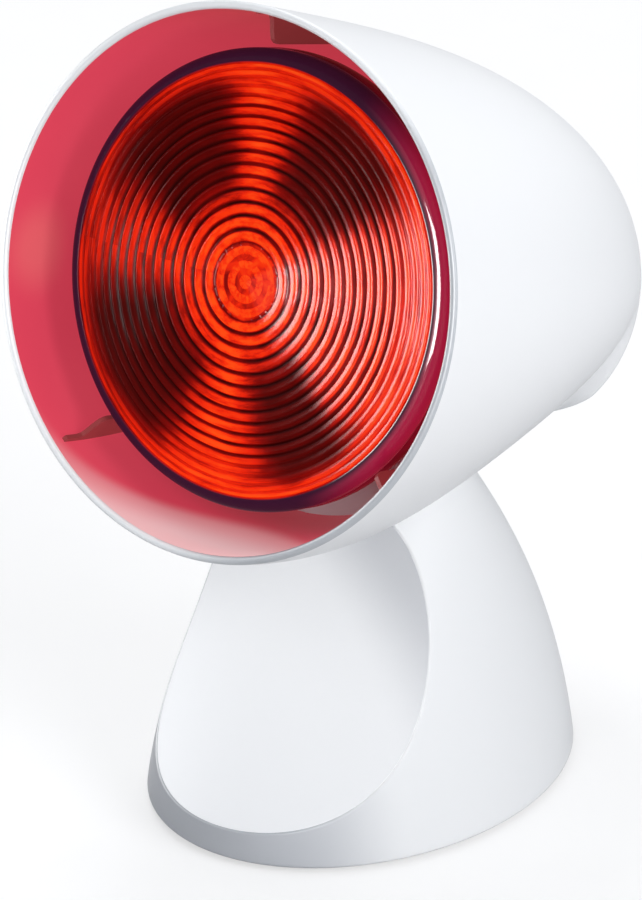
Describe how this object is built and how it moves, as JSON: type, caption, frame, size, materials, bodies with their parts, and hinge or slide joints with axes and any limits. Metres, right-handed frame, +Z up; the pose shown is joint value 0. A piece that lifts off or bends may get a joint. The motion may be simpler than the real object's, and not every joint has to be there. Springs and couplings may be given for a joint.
{
  "type": "infrared heat lamp",
  "caption": "Tabletop infrared heat lamp: a tilting egg-shaped white head with a ringed red reflector bulb, on a domed stand with a scooped front.",
  "frame": {"origin": "middle of the lamp's outline on the surface that it stands on", "axes": "+Z up, the lamp shines along -Y, +X to the right seen from the front"},
  "size_m": [0.1452, 0.1888, 0.236],
  "materials": {
    "white_plastic": "smooth white moulded plastic, satin to gloss",
    "grey_plastic": "fine textured light grey moulded plastic",
    "black_rubber": "matt soft rubber",
    "steel": "zinc plated steel",
    "ceramic": "unglazed fired ceramic",
    "brass": "bright pressed brass",
    "silicone": "heat resistant sleeved lead",
    "red_glass": "ruby glass pressed in concentric rings",
    "dark_red_glass": "ruby glass, mirrored inside",
    "clear_glass": "clear glass stem",
    "black_glass": "black glass insulator",
    "nickel": "nickel plated sheet",
    "tungsten": "drawn tungsten coil"
  },
  "bodies": {
    "stand": {"stand_shell": "white_plastic", "front_panel": "white_plastic", "base_plate": "grey_plastic", "base_screw_1": "steel", "base_screw_2": "steel", "base_screw_3": "steel", "base_screw_4": "steel", "rubber_foot_1": "black_rubber", "rubber_foot_2": "black_rubber", "rubber_foot_3": "black_rubber", "rubber_foot_4": "black_rubber", "hinge_pin_left": "steel", "hinge_pin_right": "steel", "brake_washer_left": "steel", "brake_washer_right": "steel", "cord_bush": "grey_plastic", "terminal_block": "ceramic", "terminal_screw_left": "brass", "terminal_screw_right": "brass", "lead_in_stand": "silicone"},
    "head": {"head_shell": "white_plastic", "rear_cover": "white_plastic", "cover_screw_left": "steel", "cover_screw_right": "steel", "lead_in_head": "silicone", "holder_body": "ceramic", "holder_sleeve": "brass", "holder_tongue": "brass", "holder_ring_nut": "grey_plastic", "holder_bracket": "steel", "bracket_screw_left": "steel", "bracket_screw_right": "steel"},
    "bulb_base": {"bulb_cap": "brass", "bulb_insulator": "black_glass", "bulb_contact": "nickel"},
    "bulb": {"bulb_lens": "red_glass", "bulb_reflector": "dark_red_glass", "bulb_skirt": "nickel", "bulb_stem": "clear_glass", "bulb_filament": "tungsten", "filament_wire_left": "steel", "filament_wire_right": "steel"}
  },
  "joints": [
    {"name": "head_tilt", "type": "hinge", "parent": "stand", "child": "head", "pos_m": [0, -0.00781, 0.06], "axis": [-1, 0, 0], "range_deg": [-15, 15]},
    {"name": "bulb_travel", "type": "slide", "parent": "head", "child": "bulb_base", "axis": [0, -0.9659, 0.2588], "range_m": [0, 0.01089]},
    {"name": "bulb_unscrew", "type": "hinge", "parent": "bulb_base", "child": "bulb", "pos_m": [0, -0.07561, 0.1659], "axis": [0, -0.9659, 0.2588], "range_deg": [0, 1080]}
  ],
  "couplings": [
    {"joint": "bulb_travel", "follows": "bulb_unscrew", "m_per_rad": 0.00057773}
  ]
}
